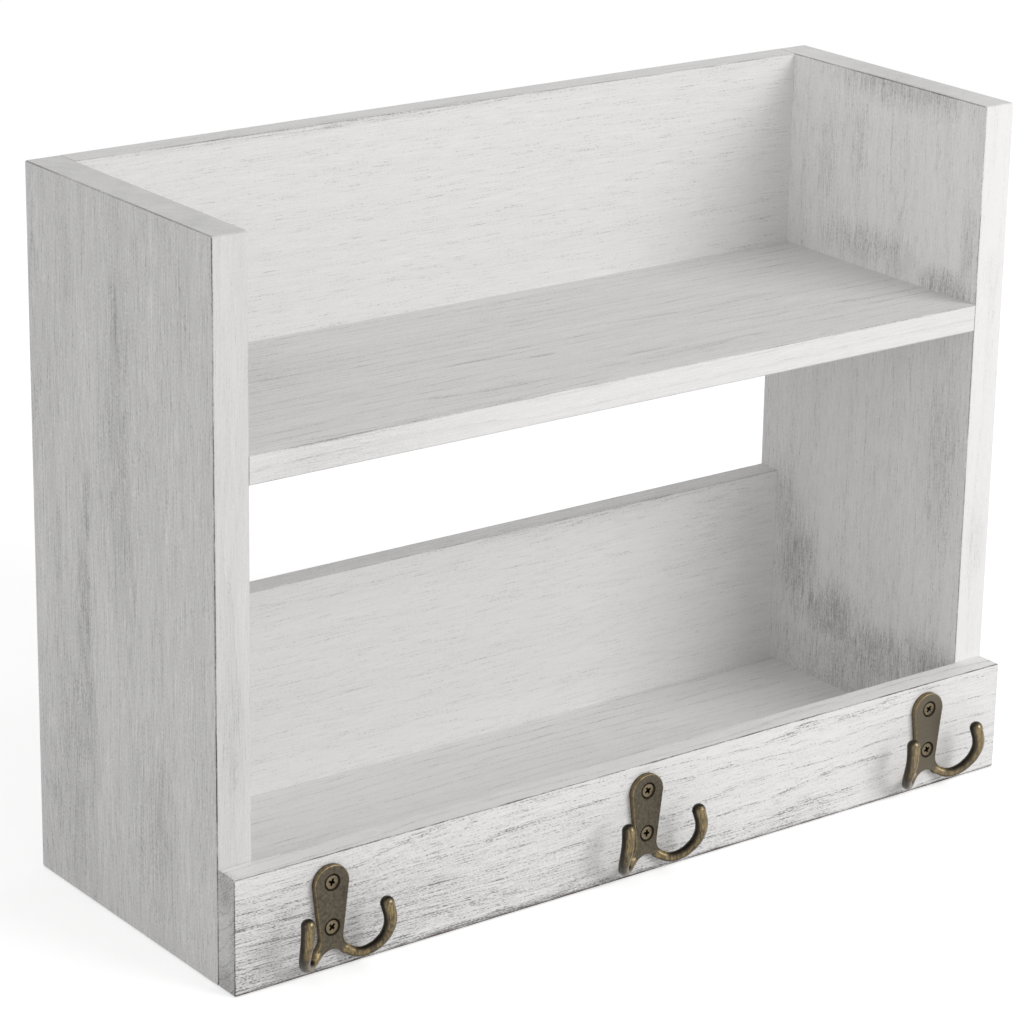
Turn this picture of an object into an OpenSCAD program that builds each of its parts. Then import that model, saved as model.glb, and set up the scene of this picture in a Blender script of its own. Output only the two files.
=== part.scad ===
// Wall mail organizer: two plain-board tiers, a rail across the front and three cast double hooks.
// The origin is on the wall plane, at the middle of the width and level with the bottom.
// X runs to the right, Y into the wall and Z up, so the open front faces -Y.

/* [Body] */
// Overall width, over the side boards and the rail
width = 406; // [330:1:600]
// Depth of the side boards, from the wall to their front edges
side_depth = 138; // [100:1:220]
// Overall height
height = 305; // [250:1:420]
// Height of the upper back board, from the upper shelf to the top
upper_back_h = 88; // [80:1:130]
// Height of the lower back board's top edge
lower_back_z = 106; // [75:1:140]

/* [Boards] */
// Thickness of the side boards
side_t = 16; // [14:0.5:22]
// Thickness of the two back boards
back_t = 12; // [11:0.5:18]
// Thickness of the two shelves
shelf_t = 12; // [10:0.5:18]
// Thickness of the front rail
rail_t = 12; // [11:0.5:18]
// Height of the front rail
rail_h = 50; // [49:1:70]
// Radius of the board corners that stand free
corner_r = 1.6; // [0.8:0.1:5]
// Radius of the sanded edges
edge_r = 0.7; // [0.3:0.1:0.8]

/* [Joints] */
// Diameter of the glued dowels
dowel_d = 6; // [5:0.5:7]
// Length of the dowels
dowel_l = 28; // [24:1:34]
// Depth that a shelf or back dowel stands in a side board
dowel_in_side = 10; // [7:0.5:11]
// Depth that a rail dowel stands in the rail
dowel_in_rail = 8; // [6:0.5:9]
// Distance of the shelf dowels from the front and back edges
shelf_dowel_inset = 30; // [24:1:40]
// Distance of the back dowels from a back board's top and bottom
back_dowel_inset = 20; // [12:1:22]
// Distance of the rail dowels from the rail's top and bottom
rail_dowel_inset = 14; // [12:0.5:18]
// Clearance round a dowel
dowel_gap = 0.1; // [0.05:0.05:0.2]
// Glue space past each end of a dowel
glue_gap = 0.4; // [0.2:0.1:0.8]

/* [Hooks] */
// Distance of the outer hooks from the rail's ends
hook_inset = 44; // [26:1:80]
// Distance from the rail's top edge down to the hook plates
hook_drop = 3.8; // [1:0.1:5]
// Radius of the plate's round head
head_r = 8.2; // [7.5:0.1:9.5]
// Distance from the plate's top edge to its upper screw
screw_top = 7.3; // [6.5:0.1:9]
// Half the width of the plate at its waist
waist_r = 5.4; // [5:0.1:6.4]
// Distance between a hook's two screws
screw_pitch = 19.4; // [17:0.1:21]
// Distance from the lower screw to the waist
waist_drop = 4.6; // [4.2:0.1:6]
// Distance from the waist down to the arch between the prongs
arch_drop = 5.2; // [4.6:0.1:6]
// Radius of the arch between the prongs
arch_r = 6.4; // [5.8:0.1:7]
// Radius of the flare from the waist into a prong
flare_r = 6; // [5:0.1:7]
// Width of a leg where it leaves the plate
leg_w = 4.4; // [3.8:0.1:5]
// Thickness of the plate
plate_t = 2.8; // [2.6:0.1:4]
// Rounding of the plate's front edge
plate_edge = 1.1; // [0.6:0.1:1.3]
// How far the prongs spread to each side
prong_spread = 19.7; // [17:0.1:24]
// How far the prongs stand out from the rail
prong_throw = 14.6; // [12:0.1:20]
// Height of the prong tips above the prongs' lowest bend
prong_rise = 23; // [16:0.1:26]
// Diameter of a prong along its bend
prong_d = 5.1; // [4.4:0.1:5.6]
// Diameter of a prong's rounded tip
tip_d = 6; // [5:0.1:7]

/* [Hook screws] */
// Shank diameter
screw_d = 3; // [2.5:0.1:3.2]
// Head diameter
screw_head_d = 6.3; // [5.6:0.1:6.8]
// Overall length
screw_l = 12; // [10:0.5:14]
// Depth of a head below the plate's face
screw_sink = 0.3; // [0.1:0.05:0.4]
// Clearance under a head, and round the shank in the rail
screw_gap = 0.05; // [0.03:0.01:0.1]
// Clearance round the shank in the hook
screw_play = 0.2; // [0.1:0.05:0.4]
// Size of the driver cross
cross_size = 3.4; // [2.4:0.1:3.8]
// Width of the arms of the driver cross
cross_arm = 0.9; // [0.6:0.1:1.2]
// Depth of the driver cross
cross_depth = 1.1; // [0.6:0.1:1.3]

/* [Hangers] */
// Distance of the keyholes from the ends of the organizer
hanger_inset = 53; // [50:1:90]
// Distance from the top edge down to the keyholes
hanger_drop = 34; // [30:1:40]
// Length of a keyhole plate
hanger_l = 42; // [38:1:46]
// Width of a keyhole plate
hanger_w = 16; // [14:0.5:18]
// Thickness of a keyhole plate
hanger_t = 1.5; // [1.4:0.1:2]
// Diameter of the keyhole's round entry
entry_d = 9; // [8:0.5:10]
// Width of the keyhole's slot
slot_w = 4.4; // [3.8:0.1:5]
// Distance from the entry up to the slot's end
slot_l = 8; // [6:0.5:9]
// Distance from a keyhole plate's ends to its screws
hanger_screw_inset = 4.6; // [4:0.1:5]
// Depth of the pocket for the wall screw's head
pocket_depth = 6; // [4:0.5:8]
// Clearance between the keyhole's entry and its pocket
pocket_gap = 1; // [0.5:0.1:1.5]
// Clearance round a keyhole plate
hanger_gap = 0.2; // [0.1:0.05:0.3]
// Shank diameter of the plate screws
hanger_screw_d = 2.4; // [2:0.1:2.8]
// Head diameter of the plate screws
hanger_head_d = 4.8; // [4.4:0.1:5]
// Overall length of the plate screws
hanger_screw_l = 9; // [7:0.5:10]
// Size of the driver cross in the plate screws
hanger_cross = 2.4; // [1.8:0.1:2.8]

/* [Hidden] */

// Steps in the quarter round of a corner or an edge
ROUND_STEPS = 5;
// Steps in the head's arc, and in a flare's arc and the half arch that faces it
HEAD_STEPS = 9;
LEG_STEPS = 6;
// Rings for each step of a prong's route, and angles of the rings that round its tip
PRONG_STEPS = 3;
TIP_ANGLES = [25, 50, 75];
// Angles of the rings that round the plate's front edge
EDGE_ANGLES = [0:22.5:90];
// Steps in a pill's half round, sides of a rod and sides of a screw's head
PILL_STEPS = 12;
ROD_SIDES = 32;
HEAD_SIDES = 48;
// Margin by which a cut runs past the face that it opens
CUT = 1;
// Direction in which a leg leaves the plate, and the arch's end on its lower edge
LEG_TURN = 50;
ARCH_END = 38;
// Broken edge round the plate's back
BACK_EDGE = 0.3;
// Depth of a prong's lowest bend under the arch, as a share of the prong's diameter
BEND_DROP = 0.66;
// Distance inside the plate at which a prong's centre line starts
ROOT_RUN = 3;
// Half the stretch, in steps of its route, that a prong's heading is taken over
HEADING_STEP = 0.05;
// Width of a screw's blunt point as a share of its shank
BLUNT = 1/4;

// Height of the upper shelf's top face
shelf_z = height - upper_back_h;
inner_x = width/2 - side_t;
side_mid_x = width/2 - side_t/2;
rail_front_y = -side_depth - rail_t;
hook_pitch = width/2 - hook_inset;
hook_z = rail_h - hook_drop - screw_top;
keyhole_x = width/2 - hanger_inset;
keyhole_z = height - hanger_drop;

// A cone of 45 degrees is as tall as its radius grows
screw_head_h = (screw_head_d - screw_d)/2;
hanger_head_h = (hanger_head_d - hanger_screw_d)/2;

whitewash = "#dddcda";
bronze = "#5b5347";
brass = "#8c774c";
birch = "#cdb48c";
zinc = "#a9abad";

// Shared geometry

// Points of an arc about the point c, from angle a to angle b
function arc(c, r, a, b, steps) =
    [for (i = [0:steps]) c + r*[cos(a + (b - a)*i/steps), sin(a + (b - a)*i/steps)]];

// One corner of a rectangle: its own point, or an arc where it has a radius
function corner(p, inward, r, a) =
    r > 0 ? arc(p + r*inward, r, a, a + 90, ROUND_STEPS) : [p];

// Rectangle from lo to hi with a radius for each corner, counter-clockwise from lo
function round_rect(lo, hi, r) = concat(
    corner(lo, [1, 1], r[0], 180),
    corner([hi[0], lo[1]], [-1, 1], r[1], 270),
    corner(hi, [-1, -1], r[2], 0),
    corner([lo[0], hi[1]], [1, -1], r[3], 90));

function same(r) = [r, r, r, r];

// Extrusions along each axis: a shape drawn as (Y, Z), (X, Z) or (X, Y)
module along_x(a, b) translate([a, 0, 0]) rotate([90, 0, 90]) linear_extrude(b - a) children();
module along_y(a, b) translate([0, b, 0]) rotate([90, 0, 0]) linear_extrude(b - a) children();
module along_z(a, b) translate([0, 0, a]) linear_extrude(b - a) children();

// Board from corner lo to corner hi, with a radius for its edges along X, along Y and along Z
module board(lo, hi, r) {
    intersection() {
        along_x(lo[0] - CUT, hi[0] + CUT) polygon(round_rect([lo[1], lo[2]], [hi[1], hi[2]], same(r[0])));
        along_y(lo[1] - CUT, hi[1] + CUT) polygon(round_rect([lo[0], lo[2]], [hi[0], hi[2]], same(r[1])));
        along_z(lo[2] - CUT, hi[2] + CUT) polygon(round_rect([lo[0], lo[1]], [hi[0], hi[1]], same(r[2])));
    }
}

// Cylinders with their axis along X or along Y, from a to b
module rod(l, d) cylinder(h = l, d = d, $fn = ROD_SIDES);
module rod_x(a, b, y, z, d) translate([a, y, z]) rotate([0, 90, 0]) rod(b - a, d);
module rod_y(a, b, x, z, d) translate([x, b, z]) rotate([90, 0, 0]) rod(b - a, d);

function unit(v) = v/norm(v);

// Dowels: the cross dowels are placed by (Y, Z) on a side board's inner face, the rail's by their height

shelf_dowels = [for (z = [shelf_t/2, shelf_z - shelf_t/2],
                     y = [-shelf_dowel_inset, -side_depth + shelf_dowel_inset]) [y, z]];
back_dowels = [for (z = [shelf_t + back_dowel_inset, lower_back_z - back_dowel_inset,
                         shelf_z + back_dowel_inset, height - back_dowel_inset]) [-back_t/2, z]];
rail_dowels = [rail_dowel_inset, rail_h - rail_dowel_inset];

// The left end's cross dowels, or their bores with a clearance and a glue space
module cross_dowels(gap, end_gap) {
    for (p = concat(shelf_dowels, back_dowels))
        rod_x(-inner_x - dowel_in_side - end_gap, -inner_x - dowel_in_side + dowel_l + end_gap,
              p[0], p[1], dowel_d + 2*gap);
}

// The same for the dowels that hold the rail on the left side board
module end_dowels(gap, end_gap) {
    for (z = rail_dowels)
        rod_y(-side_depth - dowel_in_rail - end_gap, -side_depth - dowel_in_rail + dowel_l + end_gap,
              -side_mid_x, z, dowel_d + 2*gap);
}

module both_ends() {
    children();
    mirror([1, 0, 0]) children();
}

module dowels() {
    color(birch) both_ends() {
        cross_dowels(0, 0);
        end_dowels(0, 0);
    }
}

// Boards

module left_side() {
    color(whitewash) difference() {
        board([-width/2, -side_depth, 0], [-inner_x, 0, height], [corner_r, edge_r, edge_r]);
        cross_dowels(dowel_gap, glue_gap);
        end_dowels(dowel_gap, glue_gap);
    }
}

module right_side() mirror([1, 0, 0]) left_side();

// A board between the sides, drawn from the end with a radius for each long edge
module cross_board(lo, hi, r) {
    difference() {
        along_x(-inner_x, inner_x) polygon(round_rect(lo, hi, r));
        both_ends() cross_dowels(dowel_gap, glue_gap);
    }
}

module upper_shelf() {
    color(whitewash) cross_board([-side_depth, shelf_z - shelf_t], [0, shelf_z], [edge_r, edge_r, 0, edge_r]);
}

module bottom_shelf() {
    color(whitewash) cross_board([-side_depth, 0], [0, shelf_t], [0, edge_r, 0, 0]);
}

module lower_back() {
    color(whitewash) cross_board([-back_t, shelf_t], [0, lower_back_z], [0, 0, edge_r, edge_r]);
}

module upper_back() {
    color(whitewash) difference() {
        cross_board([-back_t, shelf_z], [0, height], [0, 0, edge_r, edge_r]);
        both_ends() hanger_recess();
    }
}

module front_rail() {
    color(whitewash) difference() {
        board([-width/2, rail_front_y, 0], [width/2, -side_depth, rail_h], [edge_r, corner_r, edge_r]);
        both_ends() end_dowels(dowel_gap, glue_gap);
        hook_places() screw_places() screw_bore();
    }
}

// Hooks: each is drawn about its upper screw, with its back on the rail and -Y towards the room

module hook_places() {
    for (i = [-1:1]) translate([i*hook_pitch, rail_front_y, hook_z]) children();
}

module screw_places() {
    for (z = [0, -screw_pitch]) translate([0, 0, z]) children();
}

waist_z = -screw_pitch - waist_drop;
arch_z = waist_z - arch_drop;
head_z = screw_top - head_r;
// Lean of the plate's straight sides, from the head in to the waist
lean = asin((head_r - waist_r)/(head_z - waist_z));

// Right half of the plate's outline, from the head's top round to the arch's top
half_outline = concat(
    arc([0, head_z], head_r, 90, -lean, HEAD_STEPS),
    arc([waist_r + flare_r, waist_z], flare_r, 180 - lean, 180 + LEG_TURN, LEG_STEPS),
    arc([0, arch_z - arch_r], arch_r, ARCH_END, 90, LEG_STEPS));
outline = concat([for (p = half_outline) [-p[0], p[1]]],
                 [for (i = [len(half_outline) - 2:-1:1]) half_outline[i]]);
outline_n = len(outline);

// The outline's points at the waist, at the flare's end and on top of the arch
waist_i = HEAD_STEPS + 1;
flare_end = waist_i + LEG_STEPS;
arch_top = len(half_outline) - 1;
// A leg grows from each end of the plate, between the flare's last point and the arch's first one, its mate
mates = [[flare_end, flare_end + 1], [outline_n - flare_end, outline_n - flare_end - 1]];
function mate(i) = let (m = [for (e = mates) if (e[0] == i || e[1] == i) e[0] + e[1] - i]) m[0];

// The outline drawn in by d, towards each such point's mate or along the mean normal of its neighbours
function normal(t) = [-t[1], t[0]];
function inward(p, i) = let (n = len(p), m = mate(i))
    is_undef(m) ? normal(unit(p[(i + 1)%n] - p[(i + n - 1)%n])) : unit(p[m] - p[i]);
function inset(p, d) = [for (i = [0:len(p) - 1]) p[i] + d*inward(p, i)];

// Rings of the plate from its back to its front: [distance from the rail, inset]
plate_rings = concat([[0, BACK_EDGE], [BACK_EDGE, 0]],
    [for (a = EDGE_ANGLES) [plate_t - plate_edge + plate_edge*sin(a), plate_edge*(1 - cos(a))]]);
rings_n = len(plate_rings);
plate_points = [for (ring = plate_rings) for (p = inset(outline, ring[1])) [p[0], -ring[0], p[1]]];

// A leg's root lists the plate's points there, along the flare from back to front and back along the arch
function leg_root(ends) = concat([for (j = [0:rings_n - 1]) j*outline_n + ends[0]],
                                 [for (j = [rings_n - 1:-1:0]) j*outline_n + ends[1]]);
left_root = leg_root(mates[0]);
right_root = leg_root(mates[1]);
sides_n = len(right_root);

root_edge = half_outline[flare_end] - half_outline[flare_end + 1];
root_mid = (half_outline[flare_end] + half_outline[flare_end + 1])/2;
root_way = unit([root_edge[1], 0, -root_edge[0]]);
root = [root_mid[0], -plate_t/2, root_mid[1]];

// A prong's centre line after its root, as shares of its spread, its throw and its rise over the lowest bend
prong_route = [[0.45, 0.19, 0.03], [0.60, 0.31, 0.00], [0.78, 0.49, 0.07], [0.92, 0.70, 0.24],
               [0.99, 0.89, 0.46], [1.00, 1.00, 0.72], [0.95, 0.94, 1.00]];
// Half-width, half-thickness, turn in plan and roundness of its section, from the root's to the tip's
leg_r = leg_w/2;
bar_r = prong_d/2;
tip_r = tip_d/2;
prong_section = [[leg_r, plate_t/2, 90, 0], [leg_r, plate_t/2, 90, 0], [leg_r*1.02, plate_t*0.7, 74, 0.8],
                 [(leg_r + bar_r)/2, bar_r*0.92, 60, 1], [bar_r, bar_r, 50, 1], [bar_r, bar_r, 42, 1],
                 [bar_r*1.04, bar_r*1.04, 40, 1], [tip_r*0.94, tip_r*0.94, 40, 1], [tip_r, tip_r, 40, 1]];
// The lowest bend's centre, under the plate's arch
bend_z = arch_z - BEND_DROP*prong_d;

// Smooth curve through the listed values, at position s counted in list steps
function spline(list, s) =
    let (n = len(list) - 1, k = min(floor(s), n - 1), t = s - k,
         b = list[k], c = list[k + 1],
         a = k > 0 ? list[k - 1] : 2*b - c, d = k + 2 <= n ? list[k + 2] : 2*c - b)
    0.5*(2*b + (c - a)*t + (2*a - 5*b + 4*c - d)*t*t + (3*b - a - 3*c + d)*t*t*t);

// The line starts inside the plate, so that it leaves the root square to the plate's end
prong_line = concat([root - ROOT_RUN*root_way, root],
    [for (p = prong_route) [p[0]*prong_spread, -p[1]*prong_throw, bend_z + p[2]*prong_rise]]);
prong_end = len(prong_line) - 1;
function heading(s) = unit(spline(prong_line, min(s + HEADING_STEP, prong_end))
                           - spline(prong_line, s - HEADING_STEP));

// The root's own points, across and through the leg
function across(turn, t) = unit(cross([cos(turn), sin(turn), 0], t));
root_section = [for (i = right_root) let (p = plate_points[i] - root, u = across(90, root_way))
                [p*u, p*cross(root_way, u)]];

// A ring about c, square to the heading t, for one entry r of the section list
function prong_ring(c, t, r) =
    let (u = across(r[2], t), v = cross(t, u))
    [for (i = [0:sides_n - 1])
        let (a = 180 + (i - (rings_n - 1)/2)*360/sides_n,
             q = r[3]*[r[0]*cos(a), r[1]*sin(a)] + (1 - r[3])*root_section[i])
        c + q[0]*u + q[1]*v];

tip = prong_line[prong_end];
tip_way = heading(prong_end);
tip_turn = prong_section[prong_end][2];
prong_points = concat(
    [for (i = [1:(prong_end - 1)*PRONG_STEPS]) let (s = 1 + i/PRONG_STEPS)
        each prong_ring(spline(prong_line, s), heading(s), spline(prong_section, s))],
    [for (a = TIP_ANGLES) let (r = tip_r*cos(a))
        each prong_ring(tip + tip_r*sin(a)*tip_way, tip_way, [r, r, tip_turn, 1])]);
prong_rings_n = len(prong_points)/sides_n;

// Two triangles between side i and side k of two rings of indices, and all those between the rings
function pair(a, b, i, k) = [[a[i], b[i], a[k]], [a[k], b[i], b[k]]];
function band(a, b) = [for (i = [0:len(a) - 1]) each pair(a, b, i, (i + 1)%len(a))];
function flip(faces) = [for (f = faces) [for (i = [len(f) - 1:-1:0]) f[i]]];
function run(first, n) = [for (i = [0:n - 1]) first + i];

// Faces of a prong from its root's indices and its own rings, whose points start at the index first
function prong_faces(roots, first) =
    let (rings = [for (j = [0:prong_rings_n - 1]) run(first + j*sides_n, sides_n)])
    concat(band(roots, rings[0]),
           [for (j = [1:prong_rings_n - 1]) each band(rings[j - 1], rings[j])],
           flip([rings[prong_rings_n - 1]]));

// Triangles that fill the outline: across from side to side down to the waist, and between flare and arch
leg_fill = [for (k = [0:LEG_STEPS - 1])
    let (a = waist_i + k, b = arch_top - k) each [[a, a + 1, b], [a + 1, b - 1, b]]];
fill = concat(
    [[0, 1, outline_n - 1], [waist_i, arch_top, outline_n - waist_i]],
    [for (i = [1:waist_i - 1]) let (k = outline_n - i) each [[i, i + 1, k], [i + 1, k - 1, k]]],
    leg_fill, flip([for (f = leg_fill) [for (i = f) outline_n - i]]));
function loop_fill(loop) = [for (f = fill) [for (i = f) loop[i]]];

// Faces of the plate, without the two ends that the legs grow from
loops = [for (j = [0:rings_n - 1]) run(j*outline_n, outline_n)];
plate_faces = concat(
    loop_fill(loops[0]),
    [for (j = [1:rings_n - 1], i = [0:outline_n - 1])
        if (i != mates[0][0] && i != mates[1][1])
            each pair(loops[j - 1], loops[j], i, (i + 1)%outline_n)],
    flip(loop_fill(loops[rings_n - 1])));

// The plate and its two prongs, cast in one piece
module casting() {
    right_first = len(plate_points);
    left_first = right_first + len(prong_points);
    points = concat(plate_points, prong_points, [for (p = prong_points) [-p[0], p[1], p[2]]]);
    right_faces = prong_faces(right_root, right_first);
    left_faces = flip(prong_faces(left_root, left_first));
    polyhedron(points, concat(plate_faces, right_faces, left_faces), convexity = 8);
}

// The hole and countersink that a hook screw sits in, cut from the plate's face
module countersink() {
    wide = screw_head_d/2 + screw_sink + screw_gap;
    narrow = screw_d/2 + screw_play;
    translate([0, -plate_t, 0]) rotate([-90, 0, 0]) {
        cylinder(h = wide - narrow, r1 = wide, r2 = narrow, $fn = HEAD_SIDES);
        cylinder(h = plate_t + CUT, r = narrow, $fn = HEAD_SIDES);
        translate([0, 0, -CUT]) cylinder(h = CUT, r = wide, $fn = HEAD_SIDES);
    }
}

module hook() {
    difference() {
        casting();
        screw_places() countersink();
    }
}

module hook_at(i) color(bronze) translate([i*hook_pitch, rail_front_y, hook_z]) hook();
module hook_left() hook_at(-1);
module hook_middle() hook_at(0);
module hook_right() hook_at(1);

// Screws

// A countersunk screw drawn from its head's face at the origin, pointing along +Y
module countersunk_screw(d, head_d, head_h, l, cross, arm, depth) {
    rotate([-90, 0, 0]) difference() {
        union() {
            cylinder(h = head_h, r1 = head_d/2, r2 = d/2, $fn = HEAD_SIDES);
            cylinder(h = l - d, r = d/2, $fn = ROD_SIDES);
            translate([0, 0, l - d]) cylinder(h = d, r1 = d/2, r2 = BLUNT*d/2, $fn = ROD_SIDES);
        }
        for (a = [0, 90]) rotate([0, 0, a]) cube([cross, arm, 2*depth], center = true);
    }
}

// Bore that the rail holds a hook screw in
module screw_bore() {
    depth = screw_l - plate_t + screw_sink + glue_gap;
    rod_y(-CUT, depth, 0, 0, screw_d + 2*screw_gap);
}

module hook_screws() {
    color(brass) hook_places() screw_places() translate([0, -plate_t + screw_sink, 0])
        countersunk_screw(screw_d, screw_head_d, screw_head_h, screw_l, cross_size, cross_arm, cross_depth);
}

// Hangers: each is drawn about its keyhole's entry, with its face on the wall plane

module hanger_place() translate([-keyhole_x, 0, keyhole_z]) children();

hanger_screw_z = [for (s = [-1, 1]) s*(hanger_l/2 - hanger_screw_inset)];

// A pill from z = a to z = b, r to each side
function pill(a, b, r) = concat(arc([0, b - r], r, 0, 180, PILL_STEPS),
                                arc([0, a + r], r, 180, 360, PILL_STEPS));

module keyhole_plate() {
    head_wide = hanger_head_d/2 + screw_gap;
    difference() {
        along_y(-hanger_t, 0) polygon(pill(-hanger_l/2, hanger_l/2, hanger_w/2));
        rod_y(-hanger_t - CUT, CUT, 0, 0, entry_d);
        along_y(-hanger_t - CUT, CUT) polygon(pill(-slot_w/2, slot_l, slot_w/2));
        for (z = hanger_screw_z) translate([0, 0, z]) rotate([90, 0, 0]) {
            cylinder(h = hanger_head_h, r1 = head_wide, r2 = head_wide - hanger_head_h, $fn = HEAD_SIDES);
            cylinder(h = hanger_t + CUT, r = head_wide - hanger_head_h, $fn = ROD_SIDES);
            translate([0, 0, -CUT]) cylinder(h = CUT, r = head_wide, $fn = HEAD_SIDES);
        }
    }
}

// The seat for the plate, the deeper pocket behind its keyhole and the bores for its screws
module hanger_recess() {
    seat_l = hanger_l/2 + hanger_gap;
    pocket_r = entry_d/2 + pocket_gap;
    hanger_place() {
        along_y(-hanger_t, CUT) polygon(pill(-seat_l, seat_l, hanger_w/2 + hanger_gap));
        along_y(-hanger_t - pocket_depth, CUT) polygon(pill(-pocket_r, slot_l + pocket_r, pocket_r));
        for (z = hanger_screw_z)
            rod_y(-hanger_screw_l - glue_gap, CUT, 0, z, hanger_screw_d + 2*screw_gap);
    }
}

module left_hanger() color(zinc) hanger_place() keyhole_plate();
module right_hanger() mirror([1, 0, 0]) left_hanger();

module hanger_screws() {
    share = hanger_cross/cross_size;
    color(zinc) both_ends() hanger_place() for (z = hanger_screw_z) translate([0, 0, z]) rotate([0, 0, 180])
        countersunk_screw(hanger_screw_d, hanger_head_d, hanger_head_h, hanger_screw_l,
                          hanger_cross, share*cross_arm, share*cross_depth);
}

left_side();
right_side();
upper_back();
lower_back();
upper_shelf();
bottom_shelf();
front_rail();
hook_left();
hook_middle();
hook_right();
hook_screws();
dowels();
left_hanger();
right_hanger();
hanger_screws();
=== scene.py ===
import math

import bpy
from mathutils import Matrix, Vector


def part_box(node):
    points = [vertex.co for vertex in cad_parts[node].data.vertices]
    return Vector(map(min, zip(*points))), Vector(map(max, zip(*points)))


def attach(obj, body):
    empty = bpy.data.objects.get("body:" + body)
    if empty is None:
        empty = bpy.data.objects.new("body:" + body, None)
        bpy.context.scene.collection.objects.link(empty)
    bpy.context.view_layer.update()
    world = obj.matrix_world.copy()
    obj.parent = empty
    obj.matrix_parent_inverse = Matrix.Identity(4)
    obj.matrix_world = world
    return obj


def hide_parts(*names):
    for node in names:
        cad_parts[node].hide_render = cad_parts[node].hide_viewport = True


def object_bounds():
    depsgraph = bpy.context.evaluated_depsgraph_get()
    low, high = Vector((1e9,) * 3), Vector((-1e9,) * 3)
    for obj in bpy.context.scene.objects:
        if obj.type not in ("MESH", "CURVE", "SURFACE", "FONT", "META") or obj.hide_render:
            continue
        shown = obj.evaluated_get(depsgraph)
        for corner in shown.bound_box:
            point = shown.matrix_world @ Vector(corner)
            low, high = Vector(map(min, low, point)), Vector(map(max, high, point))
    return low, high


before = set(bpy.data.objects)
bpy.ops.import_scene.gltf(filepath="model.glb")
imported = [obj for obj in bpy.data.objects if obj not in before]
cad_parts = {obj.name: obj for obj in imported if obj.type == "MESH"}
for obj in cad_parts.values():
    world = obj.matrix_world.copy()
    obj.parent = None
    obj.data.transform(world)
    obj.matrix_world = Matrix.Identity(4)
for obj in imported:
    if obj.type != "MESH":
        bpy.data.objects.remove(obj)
cad_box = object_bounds()

bl_info = {
    "name": "Wall Mail Organizer",
    "version": (1, 0, 0),
    "blender": (4, 5, 0),
    "location": "View3D > Sidebar > Organizer",
    "description": "Models and finishes a whitewashed two-tier wall organizer with three double hooks",
    "category": "Add Mesh",
}

MM = 0.001
BODY = "root"
X_AXIS, Z_AXIS = 0, 2

# Sockets of the Mix node when it mixes colours
MIX_A, MIX_B, MIX_OUT = 6, 7, 2


def linear(code):
    """An sRGB hex colour as linear red, green, blue and alpha."""
    parts = [int(code[i:i + 2], 16)/255 for i in (1, 3, 5)]
    return (*[c/12.92 if c <= 0.04045 else ((c + 0.055)/1.055)**2.4 for c in parts], 1.0)


def colour(name, words, code):
    """A colour property with a hex value as its default."""
    return bpy.props.FloatVectorProperty(
        name=name, description=words, subtype="COLOR", size=4, min=0.0, max=1.0, default=linear(code))


def length(name, words, millimetres):
    """A length property with a default in millimetres."""
    return bpy.props.FloatProperty(
        name=name, description=words, unit="LENGTH", min=0.0, default=millimetres*MM, precision=4)


def angle(name, words, degrees):
    """An angle property with a default in degrees."""
    return bpy.props.FloatProperty(
        name=name, description=words, subtype="ANGLE", default=math.radians(degrees))


class OrganizerWood(bpy.types.PropertyGroup):
    """Sizes and colours of the whitewashed boards."""

    edge_radius: length("Edge radius", "Radius of the sanded edges", 0.7)
    corner_radius: length("Corner radius", "Radius of the corners that stand free", 1.0)
    wear_width: length("Wear width", "Width of the rubbed line along an edge", 0.4)
    paint: colour("Paint", "White wash where it lies thick", "#F2F1F0")
    # The glaze colour also lays painted shade: a darker share on some faces and patches in some inside
    # corners
    glaze: colour("Glaze", "Grey glaze that shows where the wash is thin", "#AFAEAE")
    pore: colour("Pore", "Glaze caught in the open pores", "#646366")
    worn: colour("Worn edge", "Bare wood and old glaze along rubbed edges", "#5A5049")
    seat_radius: length("Seat radius", "Half the width of the seat of a keyhole plate", 8.2)
    seat_reach: length("Seat reach", "From a keyhole's entry to the end of its plate's seat", 21.2)
    seat_depth: length("Seat depth", "Depth of the seat of a keyhole plate", 1.5)
    pocket_radius: length("Pocket radius", "Radius of the pocket for the hanging screw's head", 5.5)
    pocket_rise: length("Pocket rise", "Height of the pocket's upper end over the entry", 8.0)
    pocket_depth: length("Pocket depth", "Depth of that pocket from the back", 7.5)


class OrganizerHooks(bpy.types.PropertyGroup):
    """Sizes and colours of the cast hooks and their screws."""

    head_radius: length("Head radius", "Radius of the plate's round head", 8.2)
    waist_radius: length("Waist radius", "Half the width of the plate at its waist", 5.4)
    plate_thickness: length("Plate thickness", "Thickness of the plate", 2.8)
    screw_top: length("Screw top", "Distance from the plate's top to its upper screw", 7.3)
    screw_pitch: length("Screw pitch", "Distance between a hook's two screws", 19.4)
    waist_drop: length("Waist drop", "Distance from the lower screw to the waist", 4.6)
    arch_drop: length("Arch drop", "Distance from the waist to the arch", 5.2)
    arch_radius: length("Arch radius", "Radius of the arch between the prongs", 6.4)
    flare_radius: length("Flare radius", "Radius of the flare from the waist into a prong", 6.0)
    prong_radius: length("Prong radius", "Radius of a prong along its bend", 2.55)
    tip_radius: length("Tip radius", "Radius of a prong's rounded tip", 3.0)
    screw_head_radius: length("Screw head radius", "Radius of a countersunk head", 3.15)
    screw_radius: length("Screw radius", "Radius of a screw's shank", 1.5)
    screw_length: length("Screw length", "Overall length of a screw", 12.0)
    screw_sink: length("Screw sink", "Depth of a head below the plate's face", 0.3)
    voxel: length("Voxel", "Grain of the mesh that melts plate and prongs together", 0.3)
    bronze: colour("Bronze", "Brown patina over the casting", "#6B6457")
    brass: colour("Brass", "Rubbed metal on edges and prongs", "#98855F")
    # This black also lays painted shade on the prongs' flanks and undersides, in the hollows and round and in
    # the screws
    patina: colour("Patina", "Black patina in the hollows", "#1E1913")


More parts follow.
